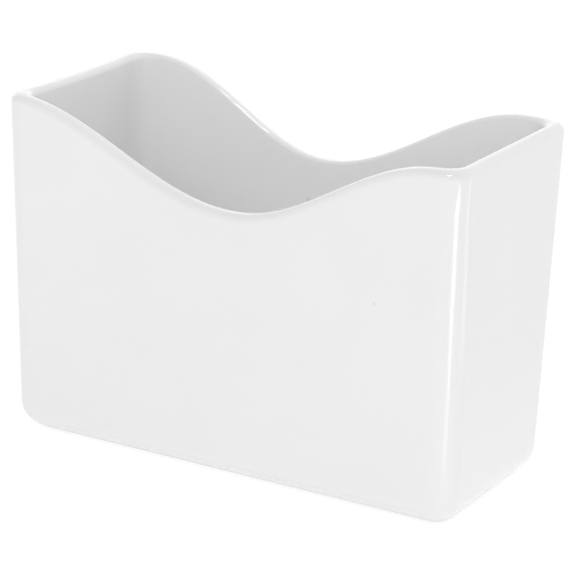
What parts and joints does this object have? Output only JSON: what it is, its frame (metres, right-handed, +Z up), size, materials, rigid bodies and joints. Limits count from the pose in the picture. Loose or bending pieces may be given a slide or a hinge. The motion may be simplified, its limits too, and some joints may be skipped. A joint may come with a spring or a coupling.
{
  "type": "napkin holder",
  "caption": "Upright rectangular napkin holder of cast white glazed ceramic: a deep open pocket with rounded corners and a curved dip in the front and back rims.",
  "frame": {"origin": "middle of the footprint, on the surface that the foot stands on", "axes": "+X along the length to the right end, +Y to the back wall, +Z up"},
  "size_m": [0.18, 0.0886, 0.128],
  "materials": {
    "clay": "bare fired clay, matt",
    "glaze": "clear gloss over white"
  },
  "bodies": {
    "root": {"clay_body": "clay", "glaze_coat": "glaze", "glaze_under": "glaze"}
  },
  "joints": []
}
